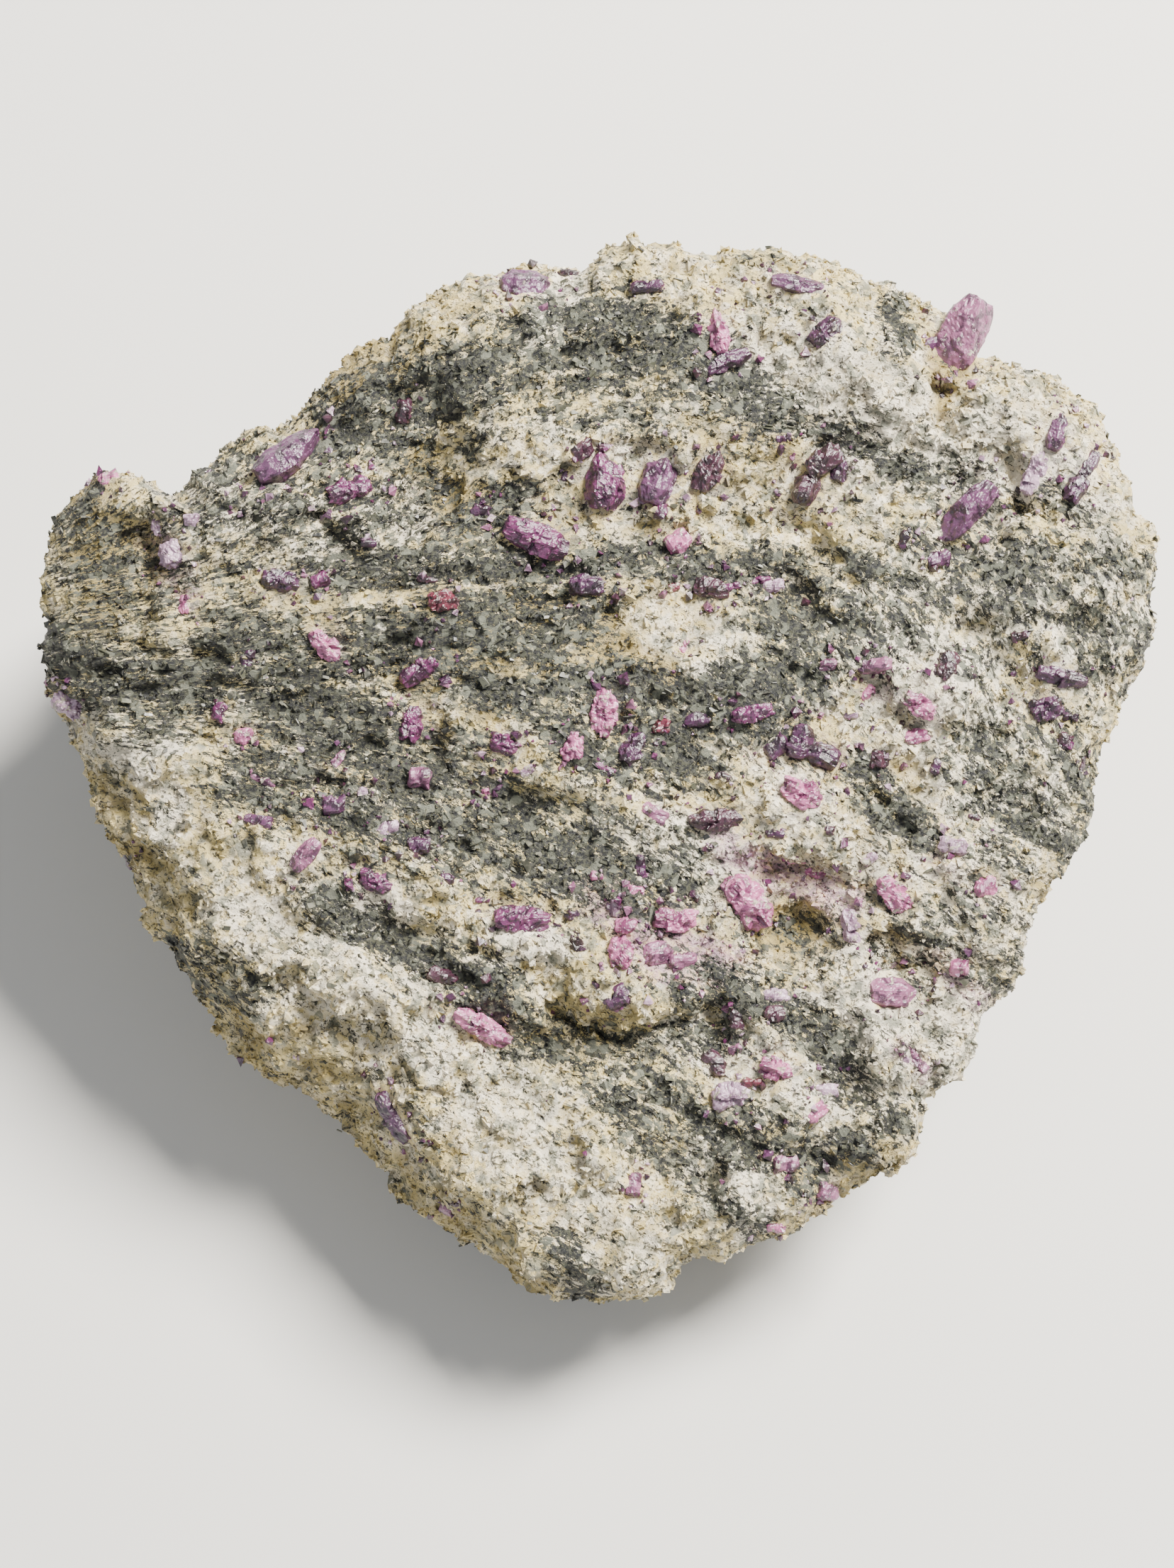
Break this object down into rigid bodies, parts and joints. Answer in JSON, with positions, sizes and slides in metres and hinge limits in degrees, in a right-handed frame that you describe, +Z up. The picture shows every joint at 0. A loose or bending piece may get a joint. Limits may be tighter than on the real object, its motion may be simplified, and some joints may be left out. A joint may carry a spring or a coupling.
{
  "type": "mineral specimen",
  "caption": "Wedge-shaped block of broken speckled feldspar and mica rock with small pink and purple ruby crystals on its sloping face.",
  "frame": {"origin": "middle of the block's box, on the plane it rests on", "axes": "+X to the right of the crystal-bearing face and along its greatest width, +Y away from the viewer, towards the thick end, +Z up; the face leans 18 degrees towards -Y"},
  "size_m": [0.2012, 0.19, 0.0897],
  "materials": {
    "matrix_rock": "rough broken, cream and grey with black specks",
    "ruby_magenta": "dull to waxy broken crystal, magenta",
    "ruby_violet": "dull to waxy broken crystal, violet",
    "ruby_purple": "dull to waxy broken crystal, purple",
    "ruby_plum": "dull to waxy broken crystal, plum",
    "ruby_pink": "dull to waxy broken crystal, pink",
    "ruby_lilac": "dull to waxy broken crystal, lilac",
    "ruby_mauve": "dull to waxy broken crystal, mauve",
    "ruby_garnet": "dull to waxy broken crystal, garnet"
  },
  "bodies": {
    "root": {"matrix_rock": "matrix_rock", "ruby_crystal_01": "ruby_violet", "ruby_crystal_02": "ruby_magenta", "ruby_crystal_03": "ruby_lilac", "ruby_crystal_04": "ruby_purple", "ruby_crystal_05": "ruby_pink", "ruby_crystal_06": "ruby_magenta", "ruby_crystal_07": "ruby_magenta", "ruby_crystal_08": "ruby_garnet", "ruby_crystal_09": "ruby_violet", "ruby_crystal_10": "ruby_pink", "ruby_crystal_11": "ruby_purple", "ruby_crystal_12": "ruby_magenta", "ruby_crystal_13": "ruby_violet", "ruby_crystal_14": "ruby_plum", "ruby_crystal_15": "ruby_magenta", "ruby_crystal_16": "ruby_purple", "ruby_crystal_17": "ruby_plum", "ruby_crystal_18": "ruby_mauve", "ruby_crystal_19": "ruby_purple", "ruby_crystal_20": "ruby_violet", "ruby_crystal_21": "ruby_plum", "ruby_crystal_22": "ruby_violet", "ruby_crystal_23": "ruby_lilac", "ruby_crystal_24": "ruby_purple", "ruby_crystal_25": "ruby_violet", "ruby_crystal_26": "ruby_magenta", "ruby_crystal_27": "ruby_lilac", "ruby_crystal_28": "ruby_pink", "ruby_crystal_29": "ruby_pink", "ruby_crystal_30": "ruby_purple", "ruby_crystal_31": "ruby_magenta", "ruby_crystal_32": "ruby_purple", "ruby_crystal_33": "ruby_plum", "ruby_crystal_34": "ruby_pink", "ruby_crystal_35": "ruby_purple", "ruby_crystal_36": "ruby_purple", "ruby_crystal_37": "ruby_mauve", "ruby_crystal_38": "ruby_magenta", "ruby_crystal_39": "ruby_magenta", "ruby_crystal_40": "ruby_pink", "ruby_crystal_41": "ruby_purple", "ruby_crystal_42": "ruby_pink", "ruby_crystal_43": "ruby_plum", "ruby_crystal_44": "ruby_pink", "ruby_crystal_45": "ruby_pink", "ruby_crystal_46": "ruby_pink", "ruby_crystal_47": "ruby_mauve", "ruby_crystal_48": "ruby_pink", "ruby_crystal_49": "ruby_lilac", "ruby_crystal_50": "ruby_mauve", "ruby_crystal_51": "ruby_pink", "ruby_crystal_52": "ruby_lilac"}
  },
  "joints": []
}
